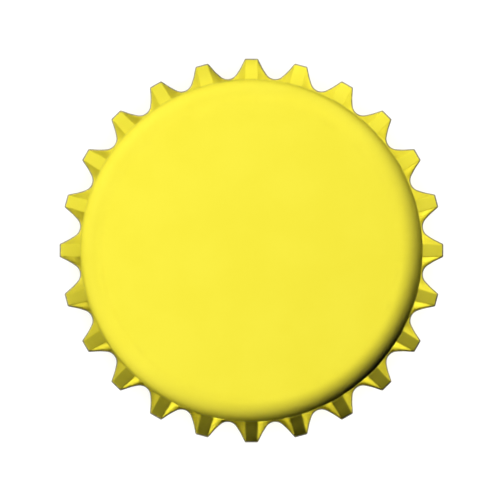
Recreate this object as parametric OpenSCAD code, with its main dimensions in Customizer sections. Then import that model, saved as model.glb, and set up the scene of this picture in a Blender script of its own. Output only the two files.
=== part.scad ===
// Crown cork bottle cap: a fluted shell of thin steel sheet with a moulded
// sealing liner against the underside of its top. Millimetres, +Z up. The origin
// is the centre of the rim, and one flute points along +X.

/* [Shell] */
// Diameter over the tips of the flutes at the rim
tip_d = 32.1; // [31.9:0.05:32.3]
// Diameter of the round wall at the shoulder
wall_d = 28.6; // [28.4:0.05:28.8]
// Height from the rim to the flat top
height = 6; // [5.85:0.05:6.15]
// Thickness of the steel sheet
sheet_t = 0.24; // [0.22:0.01:0.28]
// Outer radius of the rounded shoulder
shoulder_r = 1.7; // [1.6:0.05:1.8]
// Outward draft of the wall between the flutes
wall_draft = 1; // [0.8:0.1:1.4]

/* [Flutes] */
// Number of flutes pressed into the skirt
flute_n = 24; // [21:1:24]
// Width of the flat crest of a flute
crest_w = 1.08; // [1.02:0.02:1.14]
// Height of the plain band between the shoulder and the tops of the crests
band_h = 0.25; // [0.2:0.05:0.4]
// Fold angle between a crest and its flanks
flank_a = 62; // [60:0.5:64]
// Outer radius of the folds beside a crest
fold_r = 0.35; // [0.35:0.05:0.4]
// Distance of the valley floors outside the foot of the wall, at the rim
floor_gap = 0.1; // [0.08:0.01:0.12]
// Radius of the valley floors
floor_r = 0.94; // [0.9:0.01:0.98]
// Half the angle between the two sides of a valley
valley_a = 42; // [40:0.5:44]
// Lean of the valleys towards the top
valley_lean = 21; // [19:0.5:23]

/* [Liner] */
// Diameter of the liner
liner_d = 26.4; // [26:0.1:26.8]
// Thickness of the thin web across the liner's middle
web_t = 0.2; // [0.15:0.05:0.3]
// Thickness of the sealing ring
ring_t = 0.8; // [0.7:0.05:0.95]
// Inner diameter of the sealing ring
ring_id = 21.4; // [20.8:0.1:22]
// Radius on the edges of the sealing ring
ring_edge = 0.25; // [0.15:0.05:0.3]
// Diameter of the small bead inside the sealing ring
bead_d = 18.6; // [15:0.1:19]
// Radius of the small bead
bead_r = 0.3; // [0.2:0.05:0.35]

/* [Hidden] */
$fn = 96;

pitch = 360 / flute_n;
// Height at which the crests run out into the wall
crest_top = height - shoulder_r - band_h;
// Slope of a crest, from the vertical
crest_a = atan((tip_d - wall_d) / 2 / crest_top);
// Height below which the wall drafts outwards, just under the crest tops
draft_z = crest_top - 0.15;
// Radius of the valley floors about the cap's axis, at the rim
floor_x = wall_d / 2 + draft_z * tan(wall_draft) + floor_gap;
// Depth of a flute prism below its crest, which takes its base inside the wall
prism_d = 2.75 * cos(crest_a);
// Radius of the flare between the flutes before it is hollowed, which hides the
// ridges that are left inside the flutes
flare_x = tip_d / 2 - 0.45;
// Height at which that flare ends, inside the wall
flare_top = (flare_x - wall_d / 2 + 0.17) / tan(crest_a);
// Length that prisms and tools run past what they make or cut
past = 1.5;

// Half profile of the round body: flat top, rounded shoulder, short upright band
// and drafted wall. inset is the distance inside the outer skin, and below is how
// far the wall runs on under the rim.
module body_profile(inset, below) {
    r = wall_d / 2 - inset;
    c = shoulder_r - inset;
    top = height - inset;
    foot = r + (draft_z + below) * tan(wall_draft);
    intersection() {
        union() {
            polygon([[0, -below], [foot, -below], [r, draft_z], [r, top - c], [0, top - c]]);
            square([r - c, top]);
            translate([r - c, top - c]) circle(r = c);
        }
        translate([0, -below]) square([tip_d, height + below]);
    }
}

// One flute: a long prism along the sloping crest, with a round fold down each
// side of the crest and a steep flank beyond it
module flute_prism(inset) {
    r = fold_r - inset;
    c = crest_w / 2 - fold_r * tan(flank_a / 2);
    fold_x = r * cos(flank_a) - fold_r;
    fold_y = c + r * sin(flank_a);
    base_y = fold_y + (prism_d + fold_x) / tan(flank_a);
    translate([tip_d / 2, 0, 0]) rotate([0, -crest_a, 0]) translate([0, 0, -past])
        linear_extrude(height = crest_top / cos(crest_a) + past + 0.35) union() {
            polygon([
                [-inset, -c], [-inset, c], [fold_x, fold_y],
                [-prism_d, base_y], [-prism_d, -base_y], [fold_x, -fold_y]
            ]);
            for (side = [-1, 1]) translate([-fold_r, side * c]) circle(r = r);
        }
}

// The rounded V between two flutes. It leans in towards the top, so each valley
// floor rises from the rim and runs out into the wall as a low arch.
module valley(inset) {
    r = floor_r + inset;
    x = floor_r - r * sin(valley_a);
    y = r * cos(valley_a);
    reach = 4;
    far_x = x + reach * cos(valley_a);
    far_y = y + reach * sin(valley_a);
    rotate([0, 0, pitch / 2]) translate([floor_x, 0, 0]) rotate([0, -valley_lean, 0])
        translate([0, 0, -2 * past]) linear_extrude(height = height + 3 * past) union() {
            translate([floor_r, 0]) circle(r = r);
            polygon([[x, -y], [far_x, -far_y], [far_x, far_y], [x, y]]);
        }
}

// The flare that joins the feet of the flutes: a cone as steep as the crests,
// hollowed by the valleys
module flare(inset) {
    slope = tan(crest_a);
    r = flare_x - inset / cos(crest_a);
    difference() {
        translate([0, 0, -past]) cylinder(r1 = r + past * slope, r2 = r - flare_top * slope, h = flare_top + past);
        for (i = [0 : flute_n - 1]) rotate([0, 0, i * pitch]) valley(inset);
    }
}

// Everything inside one skin of the sheet: the outer skin for an inset of 0, and
// the inner skin for an inset of the sheet's thickness
module skin(inset, below) {
    union() {
        rotate_extrude() body_profile(inset, below);
        for (i = [0 : flute_n - 1]) rotate([0, 0, i * pitch]) flute_prism(inset);
        flare(inset);
    }
}

// The shell: one sheet, equally thick on the top, the shoulder, the wall and the
// flutes, trimmed flat at the rim
module crown_shell() {
    color([0.98, 0.93, 0.26]) difference() {
        skin(0, 0);
        skin(sheet_t, past);
        translate([0, 0, -3 * past]) cylinder(d = tip_d + 2 * past, h = 3 * past);
    }
}

// Half profile of the liner as moulded, hung from the inner face of the top
module liner_profile() {
    top = height - sheet_t;
    ro = liner_d / 2;
    ri = ring_id / 2;
    low = top - ring_t;
    union() {
        translate([0, top - web_t]) square([ro, web_t]);
        translate([ri, low + ring_edge]) square([ro - ri, ring_t - ring_edge]);
        translate([ri + ring_edge, low]) square([ro - ri - 2 * ring_edge, ring_t]);
        for (x = [ri + ring_edge, ro - ring_edge]) translate([x, low + ring_edge]) circle(r = ring_edge);
        translate([bead_d / 2, top - web_t]) circle(r = bead_r);
    }
}

// The liner: a thin web with a thick sealing ring, moulded in place, so its back
// follows the inside of the shell
module sealing_liner() {
    color([0.93, 0.93, 0.9]) rotate_extrude() intersection() {
        liner_profile();
        body_profile(sheet_t, 0);
    }
}

crown_shell();
sealing_liner();
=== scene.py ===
"""The bottle cap's looks: a stamped, enamelled crown shell and its moulded liner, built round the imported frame.

Shapes are worked out in millimetres in the row frame, and written to the meshes in metres.
"""
import math

import bpy
import numpy as np
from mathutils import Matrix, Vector


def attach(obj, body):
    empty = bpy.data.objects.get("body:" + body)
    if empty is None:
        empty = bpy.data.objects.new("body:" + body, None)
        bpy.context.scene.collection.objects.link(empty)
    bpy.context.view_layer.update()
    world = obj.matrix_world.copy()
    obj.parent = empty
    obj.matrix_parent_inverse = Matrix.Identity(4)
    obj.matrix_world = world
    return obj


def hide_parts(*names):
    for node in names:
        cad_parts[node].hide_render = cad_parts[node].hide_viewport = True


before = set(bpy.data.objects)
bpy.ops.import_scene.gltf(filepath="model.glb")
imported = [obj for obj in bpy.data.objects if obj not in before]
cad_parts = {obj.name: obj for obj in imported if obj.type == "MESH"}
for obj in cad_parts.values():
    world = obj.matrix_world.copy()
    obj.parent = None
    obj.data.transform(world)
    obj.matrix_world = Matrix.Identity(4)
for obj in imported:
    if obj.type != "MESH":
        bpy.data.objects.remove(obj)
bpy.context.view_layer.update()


MM = 0.001

# ---------------------------------------------------------------- the cap's dimensions, as in the CAD model
TIP_R = 16.05
WALL_R = 14.3
TOP_Z = 6.0
SHEET = 0.24
SHOULDER = 1.7
DRAFT = math.radians(1.0)
FLUTES = 24
CREST_W = 1.08
BAND = 0.25
FLANK = math.radians(62.0)
VALLEY_R = 0.94
VALLEY = math.radians(42.0)
LEAN = math.radians(21.0)
FLARE_X = TIP_R - 0.45

CREST_TOP = TOP_Z - SHOULDER - BAND
CREST = math.atan((TIP_R - WALL_R) / CREST_TOP)
DRAFT_Z = CREST_TOP - 0.15
FLOOR_X = WALL_R + DRAFT_Z * math.tan(DRAFT) + 0.1
HALF = math.pi / FLUTES
SHOULDER_Z = TOP_Z - SHOULDER


def smin(a, b, k):
    """The smaller of a and b, with the corner between them rounded over a difference of k."""
    h = np.maximum(k - np.abs(a - b), 0.0) / k
    return np.minimum(a, b) - h * h * k / 4


def smax(a, b, k):
    return -smin(-a, -b, k)


def step(lo, hi, x):
    t = np.clip((x - lo) / (hi - lo), 0, 1)
    return t * t * (3 - 2 * t)


# ---------------------------------------------------------------- the fluted skirt as a radius at each angle and height
def crest_r(a, z, t):
    return (TIP_R * math.cos(CREST) - z * math.sin(CREST) - t) / (np.cos(a) * math.cos(CREST))


def flank_r(a, z, t):
    cc, cf, sf = math.cos(CREST), math.cos(FLANK), math.sin(FLANK)
    top = TIP_R * cc * cf - z * math.sin(CREST) * cf + CREST_W / 2 * sf - t
    return top / (np.cos(a) * cc * cf + np.sin(a) * sf)


def valley_r(a, z, t):
    """Where a ray from the axis enters the rounded V between two flutes, no further out than the cone that it hollows."""
    b = HALF - a
    reach = VALLEY_R + t
    ca, sb = np.cos(b) * math.cos(LEAN), np.sin(b)
    mid = FLOOR_X * math.cos(LEAN) - z * math.sin(LEAN) + VALLEY_R
    q = ca * ca + sb * sb
    disc = np.maximum(ca * ca * mid * mid - q * (mid * mid - reach * reach), 0.0)
    round_ = (ca * mid - np.sqrt(disc)) / q
    side = (mid * math.sin(VALLEY) - reach) / np.maximum(ca * math.sin(VALLEY) - sb * math.cos(VALLEY), 1e-6)
    on_round = (round_ * sb <= reach * math.cos(VALLEY)) & (disc > 0)
    return np.minimum(np.where(on_round, round_, side), FLARE_X - z * math.tan(CREST) - t / math.cos(CREST))


def skin_r(a, z, wall, t):
    """Radius of one skin of the sheet, t inside the outer one."""
    inner = t > SHEET / 2
    a = np.abs(a)
    flute = smin(crest_r(a, z, t), flank_r(a, z, t), 0.05 if inner else 0.12)
    skirt = smax(flute, valley_r(a, z, t), 0.09 if inner else 0.05) - 4 * max(z - SHOULDER_Z, 0.0)
    return smax(wall, skirt, 0.16 if inner else 0.10)


def wall_at(z, t):
    return WALL_R - t + max(DRAFT_Z - z, 0.0) * math.tan(DRAFT)


def edge_angle(z, t):
    """Angle of the flank's outer edge, where it meets the flare or the wall."""
    lo, hi = np.zeros(1), np.full(1, HALF)
    wall = wall_at(z, t)
    for _ in range(40):
        mid = (lo + hi) / 2
        flank = flank_r(mid, z, t)
        past = flank < np.maximum(valley_r(mid, z, t), wall)
        hi = np.where(past, mid, hi)
        lo = np.where(past, lo, mid)
    return float(lo[0])


EDGE = 0.07  # how far the raw edge at the rim stands outside the enamelled sheet
CELLS = (2, 4, 4, 4, 8)  # across half a flute: crest, fold, flank, fold, valley
PER_HALF = sum(CELLS)
COLUMNS = 2 * PER_HALF * FLUTES


def half_angles(z, t):
    """The angles of the mesh's lines across half a flute at height z, set so that they follow its folds."""
    inner = t > SHEET / 2
    zc = min(z, CREST_TOP)
    corner = math.atan2(CREST_W / 2 - t * math.tan(FLANK / 2), TIP_R - zc * math.tan(CREST) - t / math.cos(CREST))
    d1 = (0.035 if inner else 0.075) / TIP_R
    d2 = (0.08 if inner else 0.075) / TIP_R
    edge = edge_angle(min(z, CREST_TOP - 0.02), t)
    edge = min(max(edge, corner + d1 + d2 + 0.10 / TIP_R), HALF - d2 - 0.5 / TIP_R)
    knots = np.array([0, corner - d1, corner + d1, edge - d2, edge + d2, HALF])
    even = HALF * np.concatenate([[0], np.cumsum(CELLS)]) / PER_HALF
    knots = knots + (even - knots) * step(CREST_TOP - 0.45, SHOULDER_Z + 0.75, z)
    out = []
    for i, n in enumerate(CELLS):
        out.extend(np.linspace(knots[i], knots[i + 1], n, endpoint=False))
    return np.array(out + [HALF])


def ring_angles(z, t):
    """(angle from its flute's middle, angle about the axis) for every column."""
    half = half_angles(z, t)
    local = np.concatenate([-half[::-1], half[1:]])[:-1]  # from one valley's middle up to the next
    about = (np.arange(FLUTES)[:, None] * 2 * HALF + local[None, :]).ravel()
    return np.tile(local, FLUTES), about


def ring(z, wall, t, dr=0.0, dz=0.0):
    local, about = ring_angles(z, t)
    r = skin_r(local, z, wall, t) + dr
    return np.stack([r * np.cos(about), r * np.sin(about), np.full_like(r, z + dz)], 1)


def grid_faces(rings, n):
    """Quads between the rings, each n vertices round, facing outwards as the rings go up."""
    faces = []
    for a, b in zip(rings, rings[1:]):
        i = np.arange(n)
        j = (i + 1) % n
        faces.extend(np.stack([a + i, a + j, b + j, b + i], 1).tolist())
    return faces


def cap_faces(start, radii, z_of, n, flip):
    """Closes a flat disc inwards from a ring of n vertices, halving the ring's count as it shrinks."""
    verts, faces = [], []
    first, count = start, n
    base = start + n
    for r in radii:
        new = count // 2 if count % 2 == 0 and r / count < 0.028 and count > 44 else count
        ang = 2 * math.pi * np.arange(new) / new + RING_TURN
        ring_ = np.stack([r * np.cos(ang), r * np.sin(ang), z_of(r, ang)], 1)
        own = base + len(verts)
        for i in range(new):
            j = (i + 1) % new
            if new == count:
                faces.append([first + i, first + j, own + j, own + i])
            else:
                a, b, c = first + 2 * i, first + 2 * i + 1, first + (2 * i + 2) % count
                faces.append([a, b, own + i])
                faces.append([b, c, own + j])
                faces.append([b, own + j, own + i])
        verts.extend(ring_.tolist())
        first, count = own, new
    middle = base + len(verts)
    verts.append([0, 0, float(z_of(0.0, np.zeros(1))[0])])
    for i in range(count):
        faces.append([first + i, first + (i + 1) % count, middle])
    if flip:
        faces = [f[::-1] for f in faces]
    return verts, faces


RING_TURN = -HALF  # a ring's first vertex is in the middle of a valley


def mesh_object(name, verts, faces, material_of):
    me = bpy.data.meshes.new(name)
    me.from_pydata((np.array(verts) * MM).tolist(), [], faces)
    me.validate()
    me.polygons.foreach_set("use_smooth", np.ones(len(me.polygons), bool))
    me.polygons.foreach_set("material_index", material_of(me))
    me.update()
    ob = bpy.data.objects.new(name, me)
    bpy.context.scene.collection.objects.link(ob)
    return ob


def build_shell():
    verts, rings, zones = [], [], []

    def add(points, zone):
        rings.append(len(verts))
        verts.extend(points.tolist())
        zones.append(zone)

    def skirt_row(z, t, zone, dr=0.0, dz=0.0):
        add(ring(z, wall_at(z, t), t, dr, dz), zone)

    # inner skin from the flat top's edge down to the rim, then the cut edge, then the outer skin up
    t = SHEET
    c = SHOULDER - t
    for th in np.radians(np.linspace(90, 0, 10)):
        z = SHOULDER_Z + c * math.sin(th)
        add(ring(z, WALL_R - SHOULDER + c * math.cos(th), t), "inside")
    for z in np.concatenate([np.linspace(SHOULDER_Z, 3.5, 5)[1:], np.linspace(3.5, 1.2, 9)[1:], np.linspace(1.2, 0.02, 8)[1:]]):
        skirt_row(z, t, "inside")
    skirt_row(0.0, t, "cut", 0.004, 0.007)
    skirt_row(0.0, t, "cut", 0.018)
    # the rim's raw edge stands a little proud of the enamelled sheet above it
    skirt_row(0.0, 0.022, "cut")
    for z, inset in ((0.012, 0.006), (0.034, 0.0), (0.058, 0.010), (0.080, 0.034), (0.100, EDGE), (0.130, EDGE)):
        skirt_row(z, inset, "outside")
    for z in np.concatenate([np.linspace(0.13, 1.25, 11)[1:], np.linspace(1.25, 3.45, 13)[1:], np.linspace(3.45, SHOULDER_Z, 7)[1:]]):
        skirt_row(z, EDGE * (1 - step(0.3, 3.6, z)), "outside")
    for th in np.radians(np.concatenate([np.linspace(0, 84, 14)[1:], [90]])):
        z = SHOULDER_Z + SHOULDER * math.sin(th)
        add(ring(z, WALL_R - SHOULDER + SHOULDER * math.cos(th), 0.0), "outside")
    faces = grid_faces(rings, COLUMNS)
    zone_of = []
    for a, b in zip(zones, zones[1:]):
        zone_of += [a if a == b else "cut" if "cut" in (a, b) else b] * COLUMNS

    flat = WALL_R - SHOULDER

    def top_z(r, ang):
        ang = np.asarray(ang)
        x, y = r * np.cos(ang), r * np.sin(ang)
        wave = np.sin(0.37 * x + 0.9) * np.sin(0.31 * y - 0.4) + 0.6 * np.sin(0.23 * x - 0.41 * y + 2.1)
        return TOP_Z - 0.005 * (1 - (r / flat) ** 2) * (1.8 + wave)

    def under_z(r, ang):
        return top_z(r, ang) - SHEET

    radii = [12.2, 11.7, 11.0, 10.1, 9.1, 8.0, 6.9, 5.8, 4.7, 3.6, 2.5, 1.4, 0.6]

    # the discs need a first ring of their own that lines up with the last ring's vertices
    out = []
    for top, zone, z_of in ((True, "outside", top_z), (False, "inside", under_z)):
        source = rings[-1] if top else rings[0]
        more, fs = cap_faces(0, radii, z_of, COLUMNS, not top)
        base = len(verts)
        faces += [[source + v if v < COLUMNS else base + v - COLUMNS for v in f] for f in fs]
        zone_of += [zone] * len(fs)
        verts.extend(more)
    names = {"outside": 0, "inside": 1, "cut": 2}
    return verts, faces, np.array([names[z] for z in zone_of], np.int32)


shell_verts, shell_faces, shell_zone = build_shell()


# ---------------------------------------------------------------- materials
class Nodes:
    """A small helper for writing a material's node tree."""

    def __init__(self, name):
        self.mat = bpy.data.materials.new(name)
        self.mat.use_nodes = True
        self.nt = self.mat.node_tree
        self.nt.nodes.clear()
        self.out = self.nt.nodes.new("ShaderNodeOutputMaterial")
        self.bsdf = self.nt.nodes.new("ShaderNodeBsdfPrincipled")
        self.nt.links.new(self.bsdf.outputs[0], self.out.inputs["Surface"])
        coord = self.nt.nodes.new("ShaderNodeTexCoord")
        self.mm = self.vector("SCALE", coord.outputs["Object"], scale=1000.0)  # position in millimetres

    def put(self, socket, value):
        if isinstance(value, bpy.types.NodeSocket):
            self.nt.links.new(value, socket)
        else:
            socket.default_value = value

    def vector(self, op, a, b=None, scale=None):
        n = self.nt.nodes.new("ShaderNodeVectorMath")
        n.operation = op
        self.put(n.inputs[0], a)
        if b is not None:
            self.put(n.inputs[1], b)
        if scale is not None:
            self.put(n.inputs["Scale"], scale)
        return n.outputs["Value" if op in ("LENGTH", "DOT_PRODUCT") else "Vector"]

    def math(self, op, a, b=None, c=None, clamp=False):
        n = self.nt.nodes.new("ShaderNodeMath")
        n.operation = op
        n.use_clamp = clamp
        for i, v in enumerate((a, b, c)):
            if v is not None:
                self.put(n.inputs[i], v)
        return n.outputs[0]

    def split(self, v):
        n = self.nt.nodes.new("ShaderNodeSeparateXYZ")
        self.put(n.inputs[0], v)
        return n.outputs

    def join(self, x, y, z):
        n = self.nt.nodes.new("ShaderNodeCombineXYZ")
        for i, v in enumerate((x, y, z)):
            self.put(n.inputs[i], v)
        return n.outputs[0]

    def noise(self, scale, detail=2.0, rough=0.5, at=None, distortion=0.0):
        n = self.nt.nodes.new("ShaderNodeTexNoise")
        self.put(n.inputs["Vector"], self.mm if at is None else at)
        n.inputs["Scale"].default_value = scale
        n.inputs["Detail"].default_value = detail
        n.inputs["Roughness"].default_value = rough
        n.inputs["Distortion"].default_value = distortion
        return n.outputs[0]

    def map(self, v, lo, hi, a=0.0, b=1.0, smooth=True):
        n = self.nt.nodes.new("ShaderNodeMapRange")
        n.interpolation_type = "SMOOTHSTEP" if smooth else "LINEAR"
        n.clamp = True
        self.put(n.inputs["Value"], v)
        for key, x in (("From Min", lo), ("From Max", hi), ("To Min", a), ("To Max", b)):
            n.inputs[key].default_value = x
        return n.outputs["Result"]

    def blend(self, fac, a, b):
        n = self.nt.nodes.new("ShaderNodeMix")
        n.data_type = "RGBA"
        self.put(n.inputs["Factor"], fac)
        self.put(n.inputs[6], a)
        self.put(n.inputs[7], b)
        return n.outputs[2]

    def bump(self, height, distance, strength=1.0, normal=None):
        n = self.nt.nodes.new("ShaderNodeBump")
        n.inputs["Strength"].default_value = strength
        n.inputs["Distance"].default_value = distance * MM
        self.put(n.inputs["Height"], height)
        if normal is not None:
            self.put(n.inputs["Normal"], normal)
        return n.outputs[0]

    def set(self, **values):
        for key, v in values.items():
            self.put(self.bsdf.inputs[key.replace("_", " ")], v)


def along_skirt(m, around, up):
    """Coordinates whose pattern runs in lines down the skirt: around is the pattern's scale round the cap, and up the much smaller one down it."""
    x, y, z = m.split(m.mm)
    flat = m.vector("NORMALIZE", m.join(x, y, 0.0))
    return m.vector("ADD", m.vector("SCALE", flat, scale=around), m.join(0.0, 0.0, m.math("MULTIPLY", z, up)))


def enamel():
    m = Nodes("yellow_enamel")
    x, y, z = m.split(m.mm)
    tone = m.noise(0.22, 3.0, 0.55)
    grain = m.noise(7.0, 2.0, 0.6)
    base = m.blend(m.map(tone, 0.3, 0.7), (0.908, 0.800, 0.049, 1), (0.926, 0.820, 0.055, 1))
    base = m.blend(m.map(grain, 0.35, 0.75, 0.0, 0.10), base, (0.87, 0.75, 0.03, 1))
    # bare steel at the rim, where the sheet was sheared after it was enamelled
    ragged = m.math("ADD", z, m.math("MULTIPLY", m.math("SUBTRACT", m.noise(3.5, 3.0, 0.6), 0.5), 0.05))
    bare = m.map(ragged, 0.085, 0.110, 1.0, 0.0)
    steel = m.blend(m.noise(9.0, 2.0), (0.38, 0.33, 0.24, 1), (0.52, 0.47, 0.37, 1))
    m.set(Base_Color=m.blend(bare, base, steel))
    m.set(Metallic=m.math("MULTIPLY", bare, 0.5))
    rough = m.math("ADD", 0.36, m.math("MULTIPLY", m.noise(1.1, 3.0, 0.6), 0.12))
    m.set(Roughness=rough)
    peel = m.noise(1.7, 2.0, 0.5)
    fine = m.noise(5.5, 1.0, 0.5)
    drawn = m.noise(1.0, 2.0, 0.5, at=along_skirt(m, 95.0, 0.12))
    on_skirt = m.map(z, 3.6, 5.2, 1.0, 0.0)
    n1 = m.bump(peel, 0.0045)
    n2 = m.bump(fine, 0.0008, normal=n1)
    n3 = m.bump(m.math("MULTIPLY", drawn, on_skirt), 0.0035, normal=n2)
    m.set(Normal=n3)
    m.bsdf.inputs["Specular IOR Level"].default_value = 0.3
    return m.mat


def tinplate():
    m = Nodes("lacquered_tinplate")
    x, y, z = m.split(m.mm)
    rolled = m.noise(1.0, 3.0, 0.6, at=m.join(m.math("MULTIPLY", x, 0.12), m.math("MULTIPLY", y, 6.0), m.math("MULTIPLY", z, 6.0)))
    cloud = m.noise(0.35, 3.0, 0.6)
    base = m.blend(cloud, (0.66, 0.62, 0.52, 1), (0.76, 0.73, 0.65, 1))
    m.set(Base_Color=m.blend(m.map(rolled, 0.3, 0.7, 0.0, 0.35), base, (0.58, 0.55, 0.48, 1)))
    m.set(Metallic=1.0)
    m.set(Roughness=m.math("ADD", 0.27, m.math("MULTIPLY", rolled, 0.16)))
    m.set(Normal=m.bump(m.noise(1.6, 2.0), 0.003, normal=m.bump(rolled, 0.0012)))
    return m.mat


def cut_steel():
    m = Nodes("sheared_steel")
    drag = m.noise(1.0, 2.0, 0.6, at=along_skirt(m, 160.0, 2.0))
    m.set(Base_Color=m.blend(drag, (0.34, 0.31, 0.25, 1), (0.56, 0.53, 0.46, 1)))
    m.set(Metallic=0.9)
    m.set(Roughness=m.math("ADD", 0.32, m.math("MULTIPLY", drag, 0.2)))
    m.set(Normal=m.bump(drag, 0.006))
    return m.mat


shell = mesh_object("crown_shell_enamelled", shell_verts, shell_faces, lambda me: shell_zone)
for mat in (enamel(), tinplate(), cut_steel()):
    shell.data.materials.append(mat)
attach(shell, "root")
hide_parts("crown_shell")


# ---------------------------------------------------------------- the moulded liner
def arc(cx, cz, r, a0, a1, n):
    a = np.radians(np.linspace(a0, a1, n))
    return [(cx + r * math.cos(t), cz + r * math.sin(t)) for t in a]


def build_liner():
    back = TOP_Z - SHEET
    flat = WALL_R - SHOULDER
    c = SHOULDER - SHEET
    low = back - 0.8
    web = back - 0.2
    # the section from the axis outwards along the underside, then back along the top
    section = [(0.35, web - 0.045), (0.5, web - 0.05), (0.62, web - 0.035), (0.72, web - 0.008), (0.86, web)]
    section += [(2.2, web), (3.8, web), (5.0, web)]
    section += arc(5.4, web, 0.07, 180, 360, 7)
    section += [(6.2, web), (7.4, web), (8.4, web), (8.85, web)]
    section += [(8.96, web - 0.01)] + arc(9.3, web, 0.3, 196, 344, 11) + [(9.64, web - 0.01)]
    section += [(9.8, web), (10.2, web), (10.5, web)]
    section += arc(10.5, web - 0.12, 0.12, 78, 20, 5)
    section += [(10.66, web - 0.18), (10.69, web - 0.28)]
    section += arc(10.95, low + 0.25, 0.25, 180, 270, 9)
    section += [(11.2, low), (11.45, low)]
    section += [(11.9, low), (12.2, low), (12.5, low), (12.8, low)]
    section += arc(12.95, low + 0.25, 0.25, 270, 360, 9)
    edge_top = back - c + math.sqrt(c * c - (13.2 - flat) ** 2)
    section += [(13.2, low + 0.45), (13.2, edge_top - 0.03)]
    hi = math.degrees(math.atan2(edge_top - (back - c), 13.2 - flat))
    # clear of the facets and the slight unevenness on the inside of the shell
    section += arc(flat, back - c, c - 0.016, hi, 90, 7)
    section += [(10.0, back - 0.016), (6.0, back - 0.016), (2.0, back - 0.016)]
    n = 256
    ang = 2 * math.pi * np.arange(n) / n
    verts, rings = [], []
    for r, z in section:
        rings.append(len(verts))
        verts.extend(np.stack([r * np.cos(ang), r * np.sin(ang), np.full(n, z)], 1).tolist())
    faces = grid_faces(rings, n)
    faces = [f for f in faces]
    under, over = len(verts), len(verts) + 1
    verts += [[0, 0, web - 0.045], [0, 0, back - 0.016]]
    for i in range(n):
        j = (i + 1) % n
        faces.append([rings[0] + j, rings[0] + i, under])
        faces.append([rings[-1] + i, rings[-1] + j, over])
    return verts, faces


def compound():
    m = Nodes("liner_compound")
    cloud = m.noise(0.5, 3.0, 0.55)
    m.set(Base_Color=m.blend(cloud, (0.70, 0.71, 0.67, 1), (0.77, 0.78, 0.745, 1)))
    m.set(Roughness=m.math("ADD", 0.36, m.math("MULTIPLY", m.noise(2.2, 3.0), 0.16)))
    x, y, z = m.split(m.mm)
    radius = m.vector("LENGTH", m.join(x, y, 0.0))
    turned = m.math("SINE", m.math("MULTIPLY", radius, 24.0))
    m.set(Normal=m.bump(m.noise(3.0, 3.0, 0.6), 0.004, normal=m.bump(turned, 0.0018)))
    m.bsdf.inputs["Subsurface Weight"].default_value = 0.2
    m.bsdf.inputs["Subsurface Radius"].default_value = (1.0, 0.95, 0.85)
    m.bsdf.inputs["Subsurface Scale"].default_value = 0.0004
    return m.mat


liner_verts, liner_faces = build_liner()
liner = mesh_object("sealing_liner_moulded", liner_verts, liner_faces, lambda me: np.zeros(len(me.polygons), np.int32))
liner.data.materials.append(compound())
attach(liner, "root")
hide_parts("sealing_liner")


# ---------------------------------------------------------------- stage
def emitter_mix(name, colour, glow, albedo):
    mat = bpy.data.materials.new(name)
    mat.use_nodes = True
    b = mat.node_tree.nodes["Principled BSDF"]
    b.inputs["Base Color"].default_value = (*[albedo * c for c in colour], 1)
    b.inputs["Roughness"].default_value = 0.9
    b.inputs["Specular IOR Level"].default_value = 0.0
    b.inputs["Emission Color"].default_value = (*colour, 1)
    b.inputs["Emission Strength"].default_value = glow
    return mat


def disc(name, radius, z, segments=96):
    me = bpy.data.meshes.new(name)
    a = 2 * math.pi * np.arange(segments) / segments
    me.from_pydata([(radius * math.cos(t), radius * math.sin(t), z) for t in a], [], [list(range(segments))])
    ob = bpy.data.objects.new(name, me)
    bpy.context.scene.collection.objects.link(ob)
    return ob


floor = disc("floor", 1.8, -0.00002)
floor.data.materials.append(emitter_mix("pale_floor", (1, 1, 1), 0.72, 0.3))
bpy.ops.mesh.primitive_uv_sphere_add(segments=48, ring_count=24, radius=2.0)
surround = bpy.context.object
surround.name = "surround"
surround.data.materials.append(emitter_mix("pale_surround", (1, 1, 1), 1.1, 0.0))
for ob in (floor, surround):
    ob.visible_diffuse = False
    ob.visible_glossy = False
    ob.visible_transmission = False
    ob.visible_shadow = False

scene = bpy.context.scene
world = bpy.data.worlds.new("studio")
scene.world = world
world.use_nodes = True
# the room only shows in reflections: soft and brighter towards the horizon, with nothing below it
world.cycles_visibility.diffuse = False
sky = world.node_tree.nodes["Background"]
sky.inputs["Color"].default_value = (1, 1, 1, 1)
way = world.node_tree.nodes.new("ShaderNodeTexCoord")
height_ = world.node_tree.nodes.new("ShaderNodeSeparateXYZ")
world.node_tree.links.new(way.outputs["Generated"], height_.inputs[0])
ramp = world.node_tree.nodes.new("ShaderNodeValToRGB")
ramp.color_ramp.interpolation = "EASE"
for i, (at, level) in enumerate(((0.0, 0.0), (0.08, 0.7), (0.45, 0.6), (0.75, 0.12))):
    stop = ramp.color_ramp.elements[i] if i < 2 else ramp.color_ramp.elements.new(at)
    stop.position = at
    stop.color = (level, level, level, 1)
world.node_tree.links.new(height_.outputs["Z"], ramp.inputs["Fac"])
world.node_tree.links.new(ramp.outputs["Color"], sky.inputs["Color"])
sky.inputs["Strength"].default_value = 0.8

cap_only = bpy.data.collections.new("cap_only")
floor_only = bpy.data.collections.new("floor_only")
flagged = bpy.data.collections.new("cap_and_flag")
shaded = bpy.data.collections.new("cap_flag_and_door")
netted = bpy.data.collections.new("cap_and_net")
for ob in (shell, liner):
    for group in (cap_only, flagged, shaded, netted):
        group.objects.link(ob)
floor_only.objects.link(floor)


def unseen(ob, blocks):
    """Makes a stage object that only stands in the way of the lights which have blocks as their blockers."""
    for ray in ("camera", "diffuse", "glossy", "transmission", "volume_scatter"):
        setattr(ob, "visible_" + ray, False)
    for group in blocks:
        group.objects.link(ob)


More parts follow.
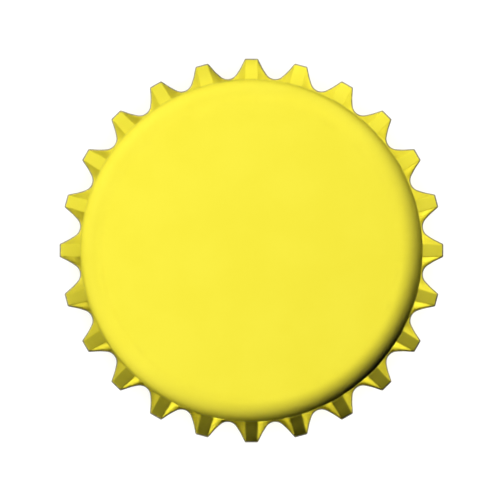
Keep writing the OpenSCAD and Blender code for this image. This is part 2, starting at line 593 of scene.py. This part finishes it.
def flag(z, inner, outer, segments=192):
    """A black card ring round the cap, just above the flutes. It keeps the low lights off the shoulder."""
    a = 2 * math.pi * np.arange(segments) / segments
    ring_ = [(r * math.cos(t), r * math.sin(t), z) for r in (inner, outer) for t in a]
    me = bpy.data.meshes.new("flag")
    me.from_pydata(ring_, [], [[i, (i + 1) % segments, segments + (i + 1) % segments, segments + i] for i in range(segments)])
    ob = bpy.data.objects.new("flag", me)
    scene.collection.objects.link(ob)
    unseen(ob, (flagged, shaded))


def barn_door(z, start, stop, outer, segments=24):
    """A black card under part of the skirt. It keeps the right-hand lights off the flutes on the far side of the cap."""
    a = np.radians(np.linspace(start, stop, segments))
    edge = [(outer * math.cos(t), outer * math.sin(t), z) for t in a]
    me = bpy.data.meshes.new("barn_door")
    me.from_pydata([(0, 0, z)] + edge, [], [list(range(segments + 1))])
    ob = bpy.data.objects.new("barn_door", me)
    scene.collection.objects.link(ob)
    unseen(ob, (shaded,))


def net(z, radius, parts, segments=96):
    """A graded net over the rim on the key's side, which holds the key down there. Each part has the radii where it starts and ends, the way it faces, how far round it reaches and its cut."""
    ob = disc("net", radius, 0.0, segments)
    ob.location.z = z
    mat = bpy.data.materials.new("net")
    mat.use_nodes = True
    nt = mat.node_tree
    nt.nodes.clear()
    out = nt.nodes.new("ShaderNodeOutputMaterial")
    clear = nt.nodes.new("ShaderNodeBsdfTransparent")
    nt.links.new(clear.outputs[0], out.inputs["Surface"])
    coord = nt.nodes.new("ShaderNodeTexCoord")

    def node(kind, *inputs, **settings):
        n = nt.nodes.new(kind)
        for key, v in settings.items():
            setattr(n, key, v)
        for i, v in enumerate(inputs):
            if isinstance(v, bpy.types.NodeSocket):
                nt.links.new(v, n.inputs[i])
            elif v is not None:
                n.inputs[i].default_value = v
        return n

    radius_ = node("ShaderNodeVectorMath", coord.outputs["Object"], operation="LENGTH").outputs["Value"]
    way = node("ShaderNodeVectorMath", coord.outputs["Object"], operation="NORMALIZE").outputs["Vector"]
    left = 1.0
    for starts, ends, azimuth, lo, hi, cut in parts:
        towards = (math.cos(math.radians(azimuth)), math.sin(math.radians(azimuth)), 0)
        facing = node("ShaderNodeVectorMath", way, towards, operation="DOT_PRODUCT").outputs["Value"]
        inner = node("ShaderNodeMapRange", radius_, starts[0] * MM, starts[1] * MM, 0.0, 1.0, interpolation_type="SMOOTHSTEP").outputs["Result"]
        outer = node("ShaderNodeMapRange", radius_, ends[0] * MM, ends[1] * MM, -cut, 0.0, interpolation_type="SMOOTHSTEP").outputs["Result"]
        band = node("ShaderNodeMath", inner, outer, operation="MULTIPLY").outputs[0]
        side_part = node("ShaderNodeMapRange", facing, lo, hi, 0.0, 1.0, interpolation_type="SMOOTHSTEP").outputs["Result"]
        passed = node("ShaderNodeMath", band, side_part, 1.0, operation="MULTIPLY_ADD").outputs[0]
        left = node("ShaderNodeMath", left, passed, operation="MULTIPLY").outputs[0]
    nt.links.new(left, clear.inputs["Color"])
    ob.data.materials.append(mat)
    unseen(ob, (netted,))


flag((CREST_TOP + 0.01) * MM, (WALL_R + 0.04) * MM, 45 * MM)
barn_door(-0.4 * MM, 80, 200, 45 * MM)
net((TOP_Z + 0.4) * MM, 26 * MM, (
    ((12.7, 13.7), (27, 28), 135, -0.1, 0.8, 0.13),
    ((12.7, 13.7), (15.0, 15.5), 135, -0.1, 0.8, 0.15),
    ((14.9, 15.5), (27, 28), 255, -0.05, 0.85, 0.46),
))

AIM = Vector((0, 0, 0.003))


def soft_box(name, azimuth, elevation, distance, size, irradiance, blockers, gloss=False):
    """A square soft box that faces the cap. irradiance is what it gives a surface that faces it there."""
    data = bpy.data.lights.new(name, "AREA")
    data.shape = "DISK"
    data.size = size
    data.energy = irradiance * math.pi * distance * distance
    ob = bpy.data.objects.new(name, data)
    a, e = math.radians(azimuth), math.radians(elevation)
    way = Vector((math.cos(a) * math.cos(e), math.sin(a) * math.cos(e), math.sin(e)))
    ob.location = AIM + way * distance
    ob.rotation_mode = "QUATERNION"
    ob.rotation_quaternion = way.to_track_quat("Z", "Y")
    scene.collection.objects.link(ob)
    ob.light_linking.receiver_collection = cap_only
    ob.light_linking.blocker_collection = blockers
    ob.visible_camera = False
    ob.visible_glossy = gloss
    data.cycles.use_multiple_importance_sampling = gloss
    return ob


soft_box("key", 146, 49, 0.40, 0.30, 4.60, netted)
# low boxes for the edge of the shoulder
soft_box("edge_right", 60, 8, 0.40, 0.16, 1.12, flagged)
soft_box("edge_back", 90, 8, 0.40, 0.16, 0.28, flagged)
soft_box("edge_left", 210, 8, 0.40, 0.16, 0.72, flagged)
# boxes below the bench's edge for the crests on the right
soft_box("crests_right", 0, -30, 0.40, 0.14, 1.83, shaded)
soft_box("crests_back_right", 45, -10, 0.40, 0.14, 1.31, shaded)
soft_box("crests_back", 60, -10, 0.40, 0.14, 0.95, shaded)
# and still lower ones, which graze the flanks of the flutes at the front
soft_box("flanks_front_right", 300, -70, 0.40, 0.14, 15.0, flagged)
soft_box("flanks_front", 270, -70, 0.40, 0.14, 10.8, flagged)


top = bpy.data.lights.new("floor_light", "SUN")
top.energy = 0.42 * math.pi / 0.3
top.angle = math.radians(100)
top_ob = bpy.data.objects.new("floor_light", top)
top_ob.location = (0, 0, 0.5)
scene.collection.objects.link(top_ob)
top_ob.light_linking.receiver_collection = floor_only
top_ob.light_linking.blocker_collection = cap_only

# ---------------------------------------------------------------- camera
PX = 16.05 / 192 * MM  # one pixel of the photograph at the rim
cam_data = bpy.data.cameras.new("camera")
cam_data.type = "ORTHO"
cam_data.ortho_scale = 500 * PX
cam_data.clip_start = 0.01
cam_data.clip_end = 5.0
cam = bpy.data.objects.new("camera", cam_data)
scene.collection.objects.link(cam)
cam.location = (-1.45 * PX, 0.5 * PX, 0.4)
cam.rotation_euler = (0, 0, 0)
scene.camera = cam

scene.view_settings.view_transform = "Standard"
scene.view_settings.look = "None"
scene.view_settings.exposure = 0.0
scene.view_settings.gamma = 1.0
